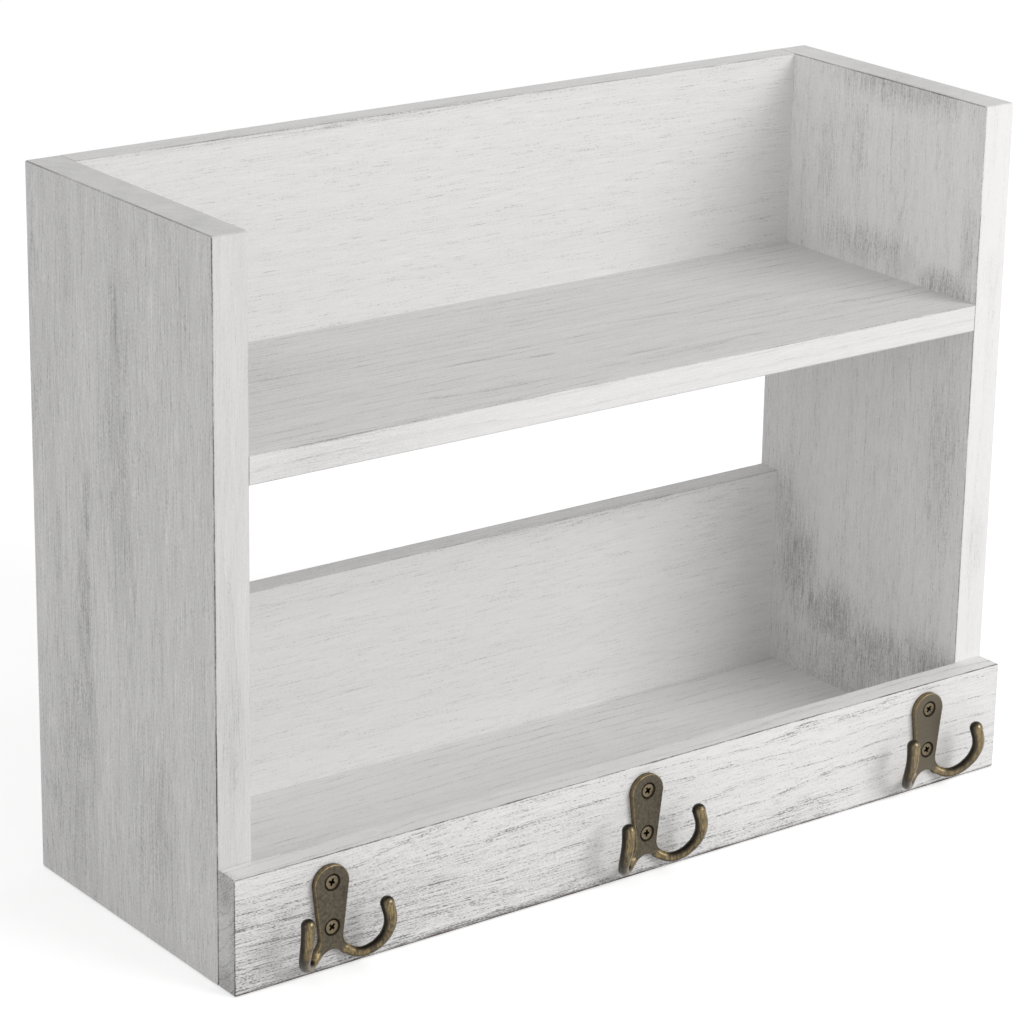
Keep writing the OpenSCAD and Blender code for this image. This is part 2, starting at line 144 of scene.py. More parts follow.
class OrganizerStage(bpy.types.PropertyGroup):
    """The camera, as fitted to the photograph's corners, and the lamps."""

    azimuth: angle("Azimuth", "Camera's turn to the right of the front", -37.493)
    elevation: angle("Elevation", "Camera's height above the horizon", 18.661)
    roll: angle("Roll", "Camera's roll", 1.2)
    distance: bpy.props.FloatProperty(
        name="Distance", description="From the camera to its target", unit="LENGTH", default=1.5955)
    lens: bpy.props.FloatProperty(
        name="Lens", description="Focal length on a 36 mm sensor", unit="CAMERA", default=131.53)
    target: bpy.props.FloatVectorProperty(
        name="Target", description="Point that the camera looks at", subtype="XYZ", unit="LENGTH",
        default=(0.00911, -0.070, 0.15463))
    shift: bpy.props.FloatVectorProperty(
        name="Shift", description="Camera shift across and up, as shares of the width", size=2,
        default=(-0.039, -0.039))
    ambient: bpy.props.FloatProperty(
        name="Ambient", description="Strength of the even light from all round", default=0.58)
    key_power: bpy.props.FloatProperty(
        name="Key power", description="Power of the soft lamp at the front right", unit="POWER", default=24.0)
    key_azimuth: angle("Key azimuth", "Turn of that lamp to the right of the front", 28)
    key_elevation: angle("Key elevation", "Height of that lamp above the horizon", 28)
    fill_power: bpy.props.FloatProperty(
        name="Fill power", description="Power of the weak lamp at the left", unit="POWER", default=4.5)
    fill_azimuth: angle("Fill azimuth", "Turn of that lamp to the right of the front", -80)
    fill_elevation: angle("Fill elevation", "Height of that lamp above the horizon", 8)


def deselect():
    """Leaves nothing selected, in object mode."""
    if bpy.context.object and bpy.context.object.mode != "OBJECT":
        bpy.ops.object.mode_set(mode="OBJECT")
    bpy.ops.object.select_all(action="DESELECT")


def pick(piece):
    """Leaves one object selected and active."""
    deselect()
    piece.select_set(True)
    bpy.context.view_layer.objects.active = piece


def named(name):
    """The active object under its own name, with its place put into its mesh."""
    piece = bpy.context.object
    piece.name = piece.data.name = name
    bpy.ops.object.transform_apply(location=True, rotation=True, scale=True)
    return piece


def modify(piece, kind, **settings):
    """Adds a modifier with its settings and applies it."""
    pick(piece)
    modifier = piece.modifiers.new(kind.title(), kind)
    for name, value in settings.items():
        setattr(modifier, name, value)
    bpy.ops.object.modifier_apply(modifier=modifier.name)


def smooth(piece, degrees):
    """Smooth shading, with creases sharper than the angle left crisp."""
    pick(piece)
    bpy.ops.object.shade_smooth_by_angle(angle=math.radians(degrees))


def cut(piece, cutter, operation="DIFFERENCE"):
    """Takes the cutter away from the piece, or melts it in, and removes it."""
    modify(piece, "BOOLEAN", object=cutter, operation=operation, solver="EXACT")
    bpy.data.objects.remove(cutter)


def block(name, low, high):
    """A box from corner to corner."""
    deselect()
    low, high = Vector(low), Vector(high)
    bpy.ops.mesh.primitive_cube_add(size=1, location=(low + high)/2)
    bpy.context.object.scale = high - low
    return named(name)


def rod(name, centre, radius, depth, far_radius=None, sides=64):
    """A round bar, or a cone, whose axis runs along Y; the far radius is at its deeper end."""
    deselect()
    far = radius if far_radius is None else far_radius
    bpy.ops.mesh.primitive_cone_add(
        vertices=sides, radius1=radius, radius2=far, depth=depth, location=centre,
        rotation=(-math.pi/2, 0, 0))
    return named(name)


def change_points(piece, chosen, operation, **settings):
    """Moves or resizes the points that pass the test."""
    pick(piece)
    bpy.ops.object.mode_set(mode="EDIT")
    bpy.ops.mesh.select_mode(type="VERT")
    bpy.ops.mesh.select_all(action="DESELECT")
    bpy.ops.object.mode_set(mode="OBJECT")
    for point in piece.data.vertices:
        point.select = chosen(point.co)
    bpy.ops.object.mode_set(mode="EDIT")
    operation(**settings)
    bpy.ops.object.mode_set(mode="OBJECT")


def bevel_edges(piece, width, segments, chosen):
    """Bevels the edges whose two ends pass the test."""
    pick(piece)
    points = piece.data.vertices
    bpy.ops.object.mode_set(mode="EDIT")
    bpy.ops.mesh.select_mode(type="EDGE")
    bpy.ops.mesh.select_all(action="DESELECT")
    bpy.ops.object.mode_set(mode="OBJECT")
    for edge in piece.data.edges:
        a, b = (points[i].co for i in edge.vertices)
        edge.select = chosen(a, b)
    bpy.ops.object.mode_set(mode="EDIT")
    bpy.ops.mesh.bevel(offset=width, segments=segments, affect="EDGES", clamp_overlap=True)
    bpy.ops.object.mode_set(mode="OBJECT")


def finish_piece(piece, material, slot, *nodes):
    """Gives a piece its finish, hides the nodes it stands for and lets it ride."""
    piece.data.materials.clear()
    piece.data.materials.append(material)
    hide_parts(*nodes)
    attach(piece, BODY)


def add(tree, kind, links=None, **settings):
    """Adds a node; links gives each input a value, a socket or a node whose first output it takes."""
    node = tree.nodes.new("ShaderNode" + kind)
    for name, value in settings.items():
        setattr(node, name, value)
    for key, value in (links or {}).items():
        if isinstance(value, bpy.types.Node):
            value = value.outputs[0]
        if isinstance(value, bpy.types.NodeSocket):
            tree.links.new(value, node.inputs[key])
        else:
            node.inputs[key].default_value = value
    return node


def new_material(name):
    """An empty material and its tree."""
    material = bpy.data.materials.new(name)
    material.use_nodes = True
    material.node_tree.nodes.clear()
    return material, material.node_tree


def mottle(tree, vector, size, detail=1.0, roughness=0.5):
    """Noise round 0.5 whose spots have the given size in millimetres along each axis."""
    scaled = add(tree, "VectorMath", {0: vector, 1: [1/s for s in size]}, operation="MULTIPLY")
    return add(tree, "TexNoise", {"Vector": scaled, "Scale": 1.0, "Detail": detail, "Roughness": roughness})


def weighted(tree, start, *terms):
    """A start value plus each value times its weight."""
    total = start
    for value, weight in terms:
        total = add(tree, "Math", {0: value, 1: weight, 2: total}, operation="MULTIPLY_ADD")
    return total


def distance(tree, place, spot, reach):
    """Distance from a spot, with each axis measured in its own reach and left out where that is nought."""
    away = add(tree, "VectorMath", {0: place, 1: spot}, operation="SUBTRACT")
    away = add(tree, "VectorMath", {0: away, 1: [1/r if r else 0.0 for r in reach]}, operation="MULTIPLY")
    return add(tree, "VectorMath", {0: away}, operation="LENGTH").outputs["Value"]


def millimetres(tree):
    """The place on the object, in millimetres."""
    place = add(tree, "TexCoord").outputs["Object"]
    return add(tree, "VectorMath", {0: place, "Scale": 1/MM}, operation="SCALE")


def layer(tree, under, over, mask, strength):
    """Lays one colour over another where the mask is, at the given strength."""
    share = add(tree, "Math", {0: mask, 1: strength}, operation="MULTIPLY", use_clamp=True)
    mix = add(tree, "Mix", {0: share, MIX_A: under, MIX_B: over}, data_type="RGBA")
    return mix.outputs[MIX_OUT]


def edge_line(low, high, edge):
    """A point on an edge named by its two faces, such as -x+z, and the axes square to that edge."""
    spot, reach = [0.0, 0.0, 0.0], [0.0, 0.0, 0.0]
    for sign, letter in zip(edge[::2], edge[1::2]):
        axis = "xyz".index(letter)
        spot[axis] = (low if sign == "-" else high)[axis]/MM
        reach[axis] = 1.0
    return spot, reach


# Sizes of the wood's patterns along the grain and across it, in millimetres. The real bristle marks are
# about a tenth of a millimetre wide and are drawn three times as wide, so that they show
WANDER = (150, 40, 40)
SOFT_BAND = (130, 11, 11)
STIPPLE = (1.1, 0.34, 0.34)
# Size of the clouds that break up the rows, the smudges and the rubbed edges
CLOUD = (30, 30, 30)
# How far the grain strays from straight
STRAY = 6.0
# Each board's pattern is moved on by these millimetres times its seed, so that no two boards are alike
SEED_STEP = (370.0, 91.0, 53.0)
# Ridges that the brush leaves in the wash
RIDGE_HEIGHT = 0.10*MM


def whitewash(name, grain, seed, tones_and_shade, grit, pores, ring, stroke=(16.0, 0.36), rows=0.2, bands=0.15,
              rubbed=(), smudges_and_shade=()):
    """Paulownia board, brushed open, glazed grey and dry-brushed with a thin white wash.

    The wash is matt and nearly white, with fine strokes along the grain. The glaze shows through in soft
    bands, in thin rows of short dark marks where a growth ring opens its pores, as smudges that the brush
    left, and as a thin brown line along rubbed edges. Its colour also lays painted shade: patches in some
    inside corners, and a darker share on some faces than on others.

    Tones give the glaze's share, which is partly painted shade that makes some faces darker than others, grit
    the depth of the strokes and pores the strength of the open pores, each on the faces square to X, Y and Z.
    A ring is the spacing of the growth rings and the pith line's distance from the board's middle, a stroke
    is a brush mark's length and width, both in millimetres. Rows and bands are the strengths of those
    patterns. A rubbed edge has its name, its wear and its width as a share of the common one, and a smudge or
    a patch of painted shade its middle, its reach along X, Y and Z and its strength.
    """
    wood = bpy.context.scene.organizer_wood
    low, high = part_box(name)
    material, tree = new_material("whitewashed_paulownia_" + name)
    place = millimetres(tree)
    axes = add(tree, "SeparateXYZ", {0: place})
    order = [grain, (grain + 1) % 3, (grain + 2) % 3]
    along = add(tree, "CombineXYZ", {i: axes.outputs[axis] for i, axis in enumerate(order)})
    along = add(tree, "VectorMath", {0: along, 1: [seed*step for step in SEED_STEP]}, operation="ADD")

    # The grain wanders a few millimetres over a hand's length
    drift = add(tree, "Math", {0: mottle(tree, along, WANDER), 1: STRAY}, operation="MULTIPLY")
    drift = add(tree, "CombineXYZ", {1: drift, 2: drift})
    fibre = add(tree, "VectorMath", {0: along, 1: drift}, operation="ADD")

    # Strokes of the brush: long hairs, broken up by a fine stipple
    long, wide = stroke
    hairs = mottle(tree, fibre, (long, wide, wide), detail=1.0)
    stipple = mottle(tree, fibre, STIPPLE, detail=0.0)
    strokes = weighted(tree, -0.3, (hairs, 1.0), (stipple, 0.6))
    soft = mottle(tree, fibre, SOFT_BAND, detail=1.0)
    cloud = mottle(tree, place, CLOUD, detail=4.0, roughness=0.65)

    # Growth rings stand round a pith line outside the board, dark at first and fading over a quarter
    spacing, *shift = ring
    pith = [(low[axis] + high[axis])/2/MM + by for axis, by in zip(order[1:], shift)]
    pith = (0.0, pith[0] + seed*SEED_STEP[1], pith[1] + seed*SEED_STEP[2])
    radius = distance(tree, fibre, pith, (0, spacing, spacing))
    radius = weighted(tree, radius, (soft, 1.7), (cloud, 0.4))
    early = add(tree, "Math", {0: radius}, operation="FRACT")
    early = add(tree, "MapRange", {"Value": early, "From Min": 0.26, "From Max": 0.0},
                interpolation_type="SMOOTHSTEP")
    early = add(tree, "Math", {0: early, 1: weighted(tree, -0.5, (cloud, 2.4))}, operation="MULTIPLY")

    # Smudges where the glaze wasn't wiped off, and patches of painted shade in inside corners, all ragged
    # along the strokes
    smudge_and_shade = 0.0
    for spot, reach, strength in smudges_and_shade:
        patch = add(tree, "MapRange", {
            "Value": distance(tree, place, spot, reach), "From Min": 1.0, "From Max": 0.15,
            "To Max": strength}, interpolation_type="SMOOTHSTEP")
        smudge_and_shade = add(tree, "Math", {0: patch, 1: smudge_and_shade}, operation="MAXIMUM")
    ragged = weighted(tree, -0.55, (cloud, 1.0), (strokes, 1.7))
    smudge_and_shade = add(tree, "Math", {0: smudge_and_shade, 1: ragged}, operation="MULTIPLY")

    # The glaze's share of the colour, by the way that a face looks: the board's own greyness, made darker on
    # some faces than on others as painted shade
    facing = add(tree, "VectorMath", {0: add(tree, "TexCoord").outputs["Normal"]}, operation="ABSOLUTE")
    tone_and_shade, depth, opening = (
        add(tree, "VectorMath", {0: facing, 1: by_face}, operation="DOT_PRODUCT").outputs["Value"]
        for by_face in (tones_and_shade, grit, pores))
    share = weighted(tree, -bands/2 - rows*0.1, (tone_and_shade, 1.0), (weighted(tree, -0.5, (strokes, 1.0)), depth),
                     (soft, bands), (early, rows*0.8), (smudge_and_shade, 0.55))
    base = layer(tree, wood.paint, wood.glaze, share, 1.0)

    # Pores gather in the rings, under the smudges and under the painted shade
    open_pores = weighted(tree, -0.07 - 0.2*rows, (strokes, 1.0), (early, rows), (smudge_and_shade, 0.18), (soft, 0.12))
    open_pores = add(tree, "MapRange", {
        "Value": open_pores, "From Min": 0.66, "From Max": 0.84, "To Max": opening},
        interpolation_type="SMOOTHSTEP")
    base = layer(tree, base, wood.pore, open_pores, 1.0)

    # Edges rubbed through the wash, in patches
    worn = 0.0
    for edge, wear, width in rubbed:
        across = width*wood.wear_width/MM
        line = add(tree, "MapRange", {
            "Value": distance(tree, place, *edge_line(low, high, edge)), "From Min": 1.5*across,
            "From Max": 0.6*across, "To Max": wear}, interpolation_type="SMOOTHSTEP")
        worn = add(tree, "Math", {0: line, 1: worn}, operation="MAXIMUM")
    base = layer(tree, base, wood.worn, worn, weighted(tree, -1.5, (cloud, 3.2), (strokes, 1.6)))

    bump = add(tree, "Bump", {"Strength": 0.45, "Distance": RIDGE_HEIGHT, "Height": strokes})
    shader = add(tree, "BsdfPrincipled", {
        "Base Color": base, "Roughness": 0.65, "Specular IOR Level": 0.3, "Normal": bump})
    add(tree, "OutputMaterial", {0: shader})
    return material


def screw_reach(tree, place):
    """Distance in millimetres from the axis of the nearest hook screw."""
    hooks = bpy.context.scene.organizer_hooks
    low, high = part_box("hook_right")
    apart = (low.x + high.x)/2/MM
    half_pitch = hooks.screw_pitch/MM/2
    axes = add(tree, "SeparateXYZ", {0: place})
    aside = add(tree, "Math", {0: axes.outputs["X"], 1: -apart/2, 2: apart/2}, operation="WRAP")
    middle = (high.z - hooks.screw_top)/MM - half_pitch
    level = add(tree, "Math", {0: axes.outputs["Z"], 1: middle}, operation="SUBTRACT")
    level = add(tree, "Math", {0: level}, operation="ABSOLUTE")
    level = add(tree, "Math", {0: level, 1: half_pitch}, operation="SUBTRACT")
    away = add(tree, "CombineXYZ", {0: aside, 2: level})
    return add(tree, "VectorMath", {0: away}, operation="LENGTH").outputs["Value"]


def antique_bronze(face):
    """Cast zinc alloy, plated antique bronze and relieved by hand.

    The plate's face is a smooth satin brown, its rim is rubbed back to brass under a painted highlight line,
    and the prongs are polished to streaky brass, with painted highlights where they face the front; painted
    shade darkens their flanks and undersides, and the hollows hold black patina under painted shade. The face
    is the plate's front in Y.
    """
    hooks = bpy.context.scene.organizer_hooks
    material, tree = new_material("antique_bronze")
    place = millimetres(tree)
    axes = add(tree, "SeparateXYZ", {0: place})

    # The tarnish is laid weaker towards the right, so the right hook comes out lighter than the others
    dull_strength = add(tree, "MapRange", {
        "Value": axes.outputs["X"], "From Min": 30.0, "From Max": 110.0, "To Min": 0.9, "To Max": 0.15})

    # A prong is what stands out from the plate's face; the rim turns away from the front, the ridge of a
    # prong looks to the front and its underside down
    on_prong = add(tree, "MapRange", {
        "Value": axes.outputs["Y"], "From Min": face/MM - 0.4, "From Max": face/MM - 2.6},
        interpolation_type="SMOOTHSTEP")
    facing = add(tree, "SeparateXYZ", {0: add(tree, "TexCoord").outputs["Normal"]})
    turned = add(tree, "Math", {0: facing.outputs["Y"]}, operation="ABSOLUTE")
    # Rubbed brass on the rim, brightest on the bevel between face and side as a painted highlight line; the
    # side keeps only half of it, as painted shade
    side = add(tree, "MapRange", {
        "Value": turned, "From Min": 0.25, "From Max": 0.6, "To Min": 0.5, "To Max": 1.0},
        interpolation_type="SMOOTHSTEP")
    rim = add(tree, "MapRange", {"Value": turned, "From Min": 0.98, "From Max": 0.85, "To Max": side},
              interpolation_type="SMOOTHSTEP")
    ridge = add(tree, "MapRange", {"Value": turned, "From Min": 0.4, "From Max": 0.92},
                interpolation_type="SMOOTHSTEP")
    # Painted shade: faces that look down are darkened to black
    under = add(tree, "MapRange", {
        "Value": facing.outputs["Z"], "From Min": -0.1, "From Max": -0.75, "To Max": 0.75},
        interpolation_type="SMOOTHSTEP")

    # Polishing marks run down the prongs. Real ones are a few tenths of a millimetre wide and are drawn at
    # 0.8 mm, so that they show. Tarnish lies in spots of a millimetre or two
    streaks = mottle(tree, place, (0.8, 0.8, 5.0), detail=3.0, roughness=0.65)
    polish_and_highlight = add(tree, "MapRange", {
        "Value": streaks, "From Min": 0.40, "From Max": 0.60, "To Min": 0.02, "To Max": 0.85},
        interpolation_type="SMOOTHSTEP")
    # Painted highlight: the polish is kept only where a prong faces the front
    polish_and_highlight = add(tree, "Math", {0: polish_and_highlight, 1: ridge}, operation="MULTIPLY")
    tarnish = mottle(tree, place, (1.5, 1.5, 1.5), detail=3.0, roughness=0.6)
    dull = add(tree, "MapRange", {"Value": tarnish, "From Min": 0.25, "From Max": 0.8, "To Max": 0.75})
    rim = add(tree, "Math", {0: rim, 1: weighted(tree, 1.35, (dull, -1.9))}, operation="MULTIPLY")
    shine = add(tree, "Mix", {0: on_prong, 2: rim, 3: polish_and_highlight}, data_type="FLOAT")

    # Painted shade darkens the prongs' flanks, black patina in the hollows gets painted shade over it, and a
    # painted shadow lies round the screws
    shade = add(tree, "MapRange", {"Value": ridge, "To Min": on_prong, "To Max": 0.0})
    # Black patina in the casting's hollows, with painted shade in the creases and where the plate meets the
    # rail
    hollow_patina_and_shade = add(tree, "AmbientOcclusion", {"Distance": 1.6*MM}, samples=6)
    hollow_patina_and_shade = add(tree, "MapRange", {"Value": hollow_patina_and_shade.outputs["AO"], "From Min": 0.85, "From Max": 0.35})
    head = hooks.screw_head_radius/MM
    # Painted shadow in the countersink round each head, fading out onto the plate's face
    ring = add(tree, "MapRange", {
        "Value": screw_reach(tree, place), "From Min": head + 0.75, "From Max": head + 0.45},
        interpolation_type="SMOOTHSTEP")
    ring = add(tree, "MapRange", {"Value": on_prong, "To Min": ring, "To Max": 0.0})

    base = layer(tree, hooks.bronze, hooks.patina, dull, dull_strength)
    # Painted shade on the flanks, undersides and hollows, and painted shadow round the screws, all in the
    # patina's black
    base = layer(tree, base, hooks.patina, shade, 0.7)
    base = layer(tree, base, hooks.brass, shine, 1.0)
    base = layer(tree, base, hooks.patina, under, 1.0)
    base = layer(tree, base, hooks.patina, hollow_patina_and_shade, 0.9)
    base = layer(tree, base, hooks.patina, ring, 0.95)
    rough = weighted(tree, 0.36, (dull, 0.2), (on_prong, -0.1))
    shader = add(tree, "BsdfPrincipled", {"Base Color": base, "Metallic": 1.0, "Roughness": rough})
    add(tree, "OutputMaterial", {0: shader})
    return material


def aged_brass(face):
    """Brass-plated steel screws, aged brown, with painted black shade in the cross and a painted black shadow
    round the head.
    """
    hooks = bpy.context.scene.organizer_hooks
    material, tree = new_material("aged_brass")
    place = millimetres(tree)
    depth = add(tree, "SeparateXYZ", {0: place}).outputs["Y"]
    # Painted shade: whatever lies deeper than the head's face, such as the cross, is darkened to near black
    sunk_shade = add(tree, "MapRange", {"Value": depth, "From Min": face/MM + 0.08, "From Max": face/MM + 0.3})

    # The brass shows through the brown in spots about a millimetre wide
    tarnish = mottle(tree, place, (1.2, 1.2, 1.2), detail=2.0)
    tarnish = add(tree, "MapRange", {"Value": tarnish, "From Min": 0.35, "From Max": 0.7})
    head = hooks.screw_head_radius/MM
    # Painted shadow: a black ring round the edge of each head, where it meets the countersink
    ring = add(tree, "MapRange", {
        "Value": screw_reach(tree, place), "From Min": head - 0.55, "From Max": head - 0.15},
        interpolation_type="SMOOTHSTEP")
    base = layer(tree, hooks.bronze, hooks.brass, tarnish, 0.6)
    base = layer(tree, base, hooks.patina, ring, 0.9)
    base = layer(tree, base, hooks.patina, sunk_shade, 0.98)
    shader = add(tree, "BsdfPrincipled", {"Base Color": base, "Metallic": 1.0, "Roughness": 0.34})
    add(tree, "OutputMaterial", {0: shader})
    return material


def zinc_steel(name, bright, dull):
    """Stamped or turned steel with a bright zinc coat, faintly spangled.

    The spangles are drawn 4 mm wide, coarser than on a thin real coat, so that they show.
    """
    material, tree = new_material(name)
    spangle = mottle(tree, millimetres(tree), (4, 4, 4), detail=3.0)
    spangle = add(tree, "MapRange", {"Value": spangle, "From Min": 0.3, "From Max": 0.7})
    base = layer(tree, linear(bright), linear(dull), spangle, 0.7)
    rough = weighted(tree, 0.28, (spangle, 0.14))
    shader = add(tree, "BsdfPrincipled", {"Base Color": base, "Metallic": 1.0, "Roughness": rough})
    add(tree, "OutputMaterial", {0: shader})
    return material


def beech():
    """Turned beech dowels: pale pinkish wood with short brown flecks.

    The flecks are drawn 0.8 mm wide, about twice their real width, so that they show.
    """
    material, tree = new_material("beech")
    flecks = mottle(tree, millimetres(tree), (6, 0.8, 0.8), detail=2.0)
    flecks = add(tree, "MapRange", {"Value": flecks, "From Min": 0.5, "From Max": 0.65})
    base = layer(tree, linear("#CDB48C"), linear("#A5845A"), flecks, 0.6)
    shader = add(tree, "BsdfPrincipled", {"Base Color": base, "Roughness": 0.6})
    add(tree, "OutputMaterial", {0: shader})
    return material


def board(name, free=None):
    """A sanded board in its node's place; an inner board is rounded only along the edges named as free."""
    wood = bpy.context.scene.organizer_wood
    low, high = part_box(name)
    piece = block(name + "_board", low, high)
    if free:
        for edge in free:
            spot, reach = edge_line(low, high, edge)
            bevel_edges(piece, wood.edge_radius, 4, lambda a, b: all(
                abs(p[axis]/MM - spot[axis]) < 0.01 for p in (a, b) for axis in range(3) if reach[axis]))
    else:
        # The corners that stand free are those along the board's thinnest side
        thin = min(range(3), key=lambda axis: high[axis] - low[axis])
        bevel_edges(piece, wood.corner_radius, 5,
                    lambda a, b: abs(a[thin] - b[thin]) > 0.9*(high[thin] - low[thin]))
        modify(piece, "BEVEL", width=wood.edge_radius, segments=4, limit_method="ANGLE",
               angle_limit=math.radians(40))
    smooth(piece, 50)
    modify(piece, "WEIGHTED_NORMAL", keep_sharp=True, weight=100)
    return piece


def slot_cutter(centre, radius, depth, below, above):
    """A cutter for a slot with round ends, whose middle line runs from below its centre to above it."""
    # With 62 sides no point lies level with the centre, so the two halves part cleanly
    cutter = rod("slot", centre, radius, depth, sides=62)
    middle = centre[2]
    change_points(cutter, lambda p: p.z > middle, bpy.ops.transform.translate, value=(0, 0, above))
    change_points(cutter, lambda p: p.z < middle, bpy.ops.transform.translate, value=(0, 0, -below))
    return cutter


class ORGANIZER_OT_side_boards(bpy.types.Operator):
    """Models the two side boards, with their grain upright"""

    bl_idname = "organizer.side_boards"
    bl_label = "Side boards"

    def execute(self, context):
        left = whitewash(
            "left_side", Z_AXIS, seed=1, tones_and_shade=(0.42, 0.33, 0.44), grit=(0.95, 0.35, 0.7),
            pores=(0.30, 0.12, 0.25), ring=(7.0, 60.0, 90.0), stroke=(15.0, 0.34), rows=0.12, bands=0.34,
            rubbed=(("-x-y", 0.9, 1.0), ("-x+z", 0.45, 1.0)),
            smudges_and_shade=(
                ((-203, -70, 210), (5, 20, 110), 0.3),
                ((-203, -43, 172), (5, 4, 26), 0.6),
                ((-203, -39, 126), (5, 10, 46), 0.5),
                ((-203, -33, 74), (5, 22, 50), 0.45),
                ((-203, -68, 252), (5, 9, 48), 0.35),
                ((-203, -25, 40), (5, 24, 50), 0.35),
                ((-203, -90, 50), (5, 26, 60), 0.3),
                ((-195, -138, 105), (9, 5, 46), 0.25)))
        finish_piece(board("left_side"), left, "whitewashed_wood", "left_side")

        # Inside, painted shade runs down the back corner and along the floor, and more lies over the shelf;
        # the other patches are glaze smudges
        right = whitewash(
            "right_side", Z_AXIS, seed=2, tones_and_shade=(0.12, 0.01, 0.24), grit=(0.7, 0.25, 0.8),
            pores=(0.26, 0.15, 0.3), ring=(8.0, -60.0, 80.0), stroke=(9.0, 0.34), rows=0.12, bands=0.24,
            rubbed=(("-x-y", 0.6, 1.0), ("-x+z", 0.8, 1.0)),
            smudges_and_shade=(
                ((187, -30, 64), (5, 20, 36), 0.85),
                ((187, -54, 46), (5, 32, 24), 1.0),
                ((187, -86, 36), (5, 44, 22), 1.0),
                ((187, -120, 40), (5, 34, 22), 1.0),
                ((187, -70, 20), (5, 74, 34), 0.7),
                ((187, -18, 92), (5, 12, 34), 0.45),
                ((187, -119, 221), (5, 26, 11), 0.9),
                ((187, -131, 238), (5, 7, 36), 0.6),
                ((187, -66, 228), (5, 46, 13), 0.5),
                ((187, -37, 262), (5, 10, 38), 0.5),
                ((187, -58, 272), (5, 8, 32), 0.4),
                ((187, -84, 305), (5, 64, 16), 0.8),
                ((187, -56, 192), (5, 26, 22), 0.5),
                ((187, -124, 138), (5, 18, 60), 0.45),
                ((195, -138, 105), (9, 5, 28), 0.3),
                ((195, -70, 305), (12, 70, 3), 0.4),
                ((195, -138, 230), (9, 5, 16), 0.2)))
        finish_piece(board("right_side"), right, "whitewashed_wood", "right_side")
        return {"FINISHED"}


class ORGANIZER_OT_back_boards(bpy.types.Operator):
    """Models the two back boards, with the recesses for the keyhole plates"""

    bl_idname = "organizer.back_boards"
    bl_label = "Back boards"

    def execute(self, context):
        wood = context.scene.organizer_wood
        lower = whitewash(
            "lower_back", X_AXIS, seed=3, tones_and_shade=(0.3, 0.06, 0.32), grit=(0.4, 0.42, 0.6),
            pores=(0.1, 0.24, 0.3), ring=(9.0, 40.0, -75.0), rows=0.07,
            rubbed=(("-y+z", 0.25, 1.0),),
            smudges_and_shade=(
                ((80, -12, 106), (120, 5, 7), 0.45),
                # Painted shadow near the right end, where the right side board shades the back
                ((150, -12, 84), (40, 5, 30), 0.2)))
        finish_piece(board("lower_back", ("-y+z", "+y+z")), lower, "whitewashed_wood", "lower_back")

        upper = whitewash(
            "upper_back", X_AXIS, seed=4, tones_and_shade=(0.3, 0.18, 0.26), grit=(0.4, 0.34, 0.5),
            pores=(0.1, 0.3, 0.2), ring=(10.0, 30.0, -90.0), rows=0.07, bands=0.08,
            rubbed=(("-y+z", 0.4, 1.0),),
            smudges_and_shade=(((-60, -12, 304), (150, 5, 3), 0.5),))
        piece = board("upper_back", ("-y+z", "+y+z"))
        straight = wood.seat_reach - wood.seat_radius
        # The cutters stand out a millimetre from the back
        for name in ("left_hanger", "right_hanger"):
            low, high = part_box(name)
            x, z = (low.x + high.x)/2, (low.z + high.z)/2
            seat = (x, (MM - wood.seat_depth)/2, z)
            cut(piece, slot_cutter(seat, wood.seat_radius, wood.seat_depth + MM, straight, straight))
            pocket = (x, (MM - wood.pocket_depth)/2, z)
            cut(piece, slot_cutter(pocket, wood.pocket_radius, wood.pocket_depth + MM, 0, wood.pocket_rise))
        finish_piece(piece, upper, "whitewashed_wood", "upper_back")
        return {"FINISHED"}


class ORGANIZER_OT_shelves(bpy.types.Operator):
    """Models the two shelves"""

    bl_idname = "organizer.shelves"
    bl_label = "Shelves"

    def execute(self, context):
        upper = whitewash(
            "upper_shelf", X_AXIS, seed=5, tones_and_shade=(0.3, 0.16, 0.38), grit=(0.3, 0.34, 0.5),
            pores=(0.2, 0.12, 0.38), ring=(5.0, -150.0, 150.0), rows=0.22, bands=0.18,
            rubbed=(("-y+z", 0.3, 1.0),),
            smudges_and_shade=(
                ((-41, -86, 217), (26, 2.0, 4), 0.8),
                ((26, -113, 217), (20, 1.6, 4), 0.8),
                ((-140, -138, 217), (60, 1.1, 1.1), 1.0),
                ((-150, -138, 210), (70, 4, 12), 0.35),
                ((-150, -40, 217), (80, 60, 4), 0.3)))
        shelf = board("upper_shelf", ("-y+z", "-y-z", "+y-z"))
        finish_piece(shelf, upper, "whitewashed_wood", "upper_shelf")

        bottom = whitewash(
            "bottom_shelf", X_AXIS, seed=6, tones_and_shade=(0.3, 0.1, 0.10), grit=(0.3, 0.36, 0.5),
            pores=(0.2, 0.2, 0.34), ring=(6.2, 140.0, 45.0), rows=0.23, bands=0.20)
        finish_piece(board("bottom_shelf", ("+y-z",)), bottom, "whitewashed_wood", "bottom_shelf")
        return {"FINISHED"}


